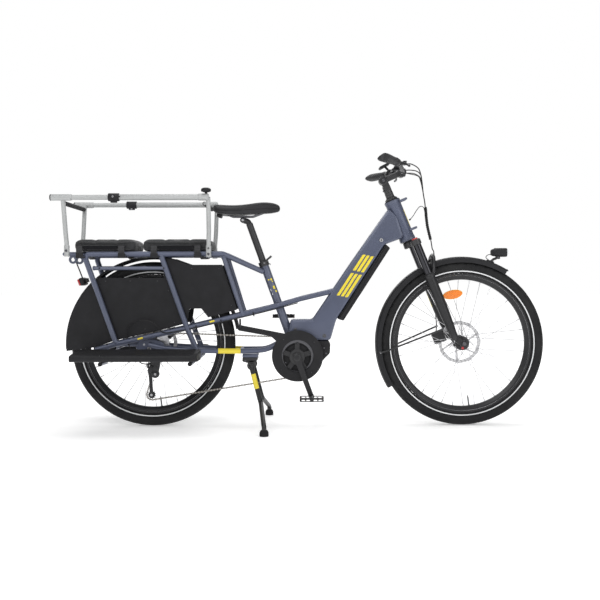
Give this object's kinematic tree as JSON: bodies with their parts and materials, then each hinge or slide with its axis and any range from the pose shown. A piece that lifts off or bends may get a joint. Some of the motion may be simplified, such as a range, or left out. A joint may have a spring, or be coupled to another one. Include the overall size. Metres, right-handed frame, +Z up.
{
  "type": "cargo bicycle",
  "caption": "Long-tail electric cargo bicycle with step-through frame, rear deck with seat pads, hand rails, running boards, side panels, mudguards and a centre stand.",
  "frame": {"origin": "centre of the bounding box at ground level, under both tyres and both stand feet", "axes": "+X forward, the way the bicycle rides; +Y to the rider's left; +Z up"},
  "size_m": [1.995, 0.684, 1.1103],
  "materials": {
    "frame_paint": "matte slate blue-violet paint",
    "rail_paint": "satin light grey",
    "black_plastic": "matte black",
    "black_alloy": "satin black",
    "bright_steel": "bright machined",
    "dark_steel": "dark oiled",
    "tyre_rubber": "matte tread",
    "grip_rubber": "matte",
    "pad_cover": "woven cover",
    "saddle_cover": "fine grain",
    "lens_red": "clear red lens"
  },
  "bodies": {
    "frame": {"main_frame": "frame_paint", "drive_unit": "black_plastic", "chain_guard": "black_plastic", "derailleur": "black_plastic", "rear_brake_caliper": "black_alloy", "rear_fender": "black_plastic", "rear_light": "lens_red", "side_panel_right": "black_plastic", "side_panel_left": "black_plastic", "running_board_right": "black_plastic", "running_board_left": "black_plastic", "seat_pad_rear": "pad_cover", "seat_pad_front": "pad_cover", "kickstand_mount": "frame_paint", "chain": "dark_steel", "rail_front_frame": "rail_paint"},
    "rear_rail": {"rail_rear_frame": "rail_paint"},
    "rail_lever_right": {"rail_lever_right": "black_plastic"},
    "rail_lever_left": {"rail_lever_left": "black_plastic"},
    "rail_knob": {"rail_knob": "black_plastic"},
    "battery": {"battery": "black_plastic"},
    "battery_lock": {"battery_lock": "dark_steel"},
    "seatpost": {"seatpost": "black_alloy"},
    "saddle": {"saddle": "saddle_cover"},
    "seat_clamp_lever": {"seat_clamp_lever": "black_alloy"},
    "fork": {"fork_crown": "black_alloy", "stem_base": "black_alloy"},
    "cockpit": {"stem_arm": "black_alloy", "handlebar": "black_alloy", "grip_right": "grip_rubber", "grip_left": "grip_rubber", "brake_perch_right": "black_alloy", "brake_perch_left": "black_alloy", "display": "black_plastic"},
    "brake_blade_right": {"brake_blade_right": "black_alloy"},
    "brake_blade_left": {"brake_blade_left": "black_alloy"},
    "shifter_lever": {"shifter_lever": "black_plastic"},
    "fork_lowers": {"fork_lowers": "black_alloy", "front_fender": "black_plastic", "front_brake_caliper": "black_alloy"},
    "headlight": {"headlight": "black_plastic"},
    "front_wheel": {"front_tyre": "tyre_rubber", "front_rim": "black_alloy", "front_hub_spokes": "bright_steel", "front_rotor": "bright_steel"},
    "rear_wheel": {"rear_tyre": "tyre_rubber", "rear_rim": "black_alloy", "rear_hub_spokes": "bright_steel", "rear_rotor": "bright_steel"},
    "cassette": {"cassette": "dark_steel"},
    "crank": {"right_crank": "black_alloy", "left_crank": "black_alloy", "chainring": "dark_steel"},
    "pedal_right": {"pedal_right": "black_plastic"},
    "pedal_left": {"pedal_left": "black_plastic"},
    "jockey_upper": {"jockey_upper": "black_plastic"},
    "jockey_lower": {"jockey_lower": "black_plastic"},
    "kickstand": {"kickstand_legs": "black_alloy", "kickstand_foot_right": "tyre_rubber", "kickstand_foot_left": "tyre_rubber"}
  },
  "joints": [
    {"name": "rear_wheel_spin", "type": "hinge", "parent": "frame", "child": "rear_wheel", "pos_m": [-0.619, 0, 0.3395], "axis": [0, 1, 0], "continuous": true},
    {"name": "crank_spin", "type": "hinge", "parent": "frame", "child": "crank", "pos_m": [-0.0236, 0, 0.287], "axis": [0, 1, 0], "continuous": true},
    {"name": "cassette_spin", "type": "hinge", "parent": "frame", "child": "cassette", "pos_m": [-0.619, 0, 0.3395], "axis": [0, 1, 0], "continuous": true},
    {"name": "jockey_upper_spin", "type": "hinge", "parent": "frame", "child": "jockey_upper", "pos_m": [-0.625, 0, 0.252], "axis": [0, 1, 0], "continuous": true},
    {"name": "jockey_lower_spin", "type": "hinge", "parent": "frame", "child": "jockey_lower", "pos_m": [-0.6194, 0, 0.1332], "axis": [0, 1, 0], "continuous": true},
    {"name": "pedal_right_spin", "type": "hinge", "parent": "crank", "child": "pedal_right", "pos_m": [0.03513, -0.14, 0.12747], "axis": [0, 1, 0], "continuous": true},
    {"name": "pedal_left_spin", "type": "hinge", "parent": "crank", "child": "pedal_left", "pos_m": [-0.08233, 0.14, 0.44653], "axis": [0, 1, 0], "continuous": true},
    {"name": "steering", "type": "hinge", "parent": "frame", "child": "fork", "pos_m": [0.372, 0, 0.9299], "axis": [-0.3735, 0, 0.9276], "range_deg": [-50, 50]},
    {"name": "fork_travel", "type": "slide", "parent": "fork", "child": "fork_lowers", "axis": [-0.3735, 0, 0.9276], "range_m": [0, 0.06], "stiffness_N_per_m": 12000},
    {"name": "front_wheel_spin", "type": "hinge", "parent": "fork_lowers", "child": "front_wheel", "pos_m": [0.658, 0, 0.3395], "axis": [0, 1, 0], "continuous": true},
    {"name": "headlight_tilt", "type": "hinge", "parent": "fork_lowers", "child": "headlight", "pos_m": [0.8175, 0, 0.714], "axis": [0, 1, 0], "range_deg": [-10, 10]},
    {"name": "stem_angle", "type": "hinge", "parent": "fork", "child": "cockpit", "pos_m": [0.3359, 0, 1.0134], "axis": [0, -1, 0], "range_deg": [-15, 40], "stiffness_Nm_per_rad": 400},
    {"name": "brake_lever_right", "type": "hinge", "parent": "cockpit", "child": "brake_blade_right", "pos_m": [0.40367, -0.2012, 1.0588], "axis": [0, 0, -1], "range_deg": [0, 22], "stiffness_Nm_per_rad": 0.5},
    {"name": "brake_lever_left", "type": "hinge", "parent": "cockpit", "child": "brake_blade_left", "pos_m": [0.40367, 0.2012, 1.0588], "axis": [0, 0, 1], "range_deg": [0, 22], "stiffness_Nm_per_rad": 0.5},
    {"name": "shifter_press", "type": "hinge", "parent": "cockpit", "child": "shifter_lever", "pos_m": [0.382, -0.163, 1.039], "axis": [0, 0, 1], "range_deg": [0, 20], "stiffness_Nm_per_rad": 0.5},
    {"name": "seatpost_height", "type": "slide", "parent": "frame", "child": "seatpost", "axis": [-0.3379, 0, 0.9412], "range_m": [-0.1, 0.07], "stiffness_N_per_m": 8000},
    {"name": "saddle_tilt", "type": "hinge", "parent": "seatpost", "child": "saddle", "pos_m": [-0.2476, 0, 0.8543], "axis": [0, 1, 0], "range_deg": [-8, 8], "stiffness_Nm_per_rad": 200},
    {"name": "seat_clamp_open", "type": "hinge", "parent": "frame", "child": "seat_clamp_lever", "pos_m": [-0.158, -0.03, 0.672], "axis": [0, -1, 0], "range_deg": [0, 110], "stiffness_Nm_per_rad": 0.3},
    {"name": "kickstand_fold", "type": "hinge", "parent": "frame", "child": "kickstand", "pos_m": [-0.2103, 0, 0.2512], "axis": [0, 1, 0], "range_deg": [0, 85]},
    {"name": "rail_extend", "type": "slide", "parent": "frame", "child": "rear_rail", "axis": [1, 0, 0], "range_m": [0, 0.08], "stiffness_N_per_m": 500},
    {"name": "rail_lever_right_open", "type": "hinge", "parent": "frame", "child": "rail_lever_right", "pos_m": [-0.745, -0.2, 0.932], "axis": [0, -1, 0], "range_deg": [0, 90], "stiffness_Nm_per_rad": 0.2},
    {"name": "rail_lever_left_open", "type": "hinge", "parent": "frame", "child": "rail_lever_left", "pos_m": [-0.745, 0.2, 0.932], "axis": [0, -1, 0], "range_deg": [0, 90], "stiffness_Nm_per_rad": 0.2},
    {"name": "rail_knob_turn", "type": "hinge", "parent": "frame", "child": "rail_knob", "pos_m": [-0.3807, -0.18, 0.956], "axis": [0, 0, 1], "range_deg": [-180, 180]},
    {"name": "battery_release", "type": "hinge", "parent": "frame", "child": "battery", "pos_m": [0.14684, 0, 0.44796], "axis": [0, 1, 0], "range_deg": [0, 6], "stiffness_Nm_per_rad": 200},
    {"name": "battery_lock_turn", "type": "hinge", "parent": "frame", "child": "battery_lock", "pos_m": [0.3246, -0.042, 0.765], "axis": [0, 1, 0], "range_deg": [0, 90]}
  ],
  "couplings": [
    {"joint": "cassette_spin", "follows": "crank_spin", "ratio": 1.5833},
    {"joint": "jockey_upper_spin", "follows": "crank_spin", "ratio": -3.4545},
    {"joint": "jockey_lower_spin", "follows": "crank_spin", "ratio": 3.4545}
  ]
}
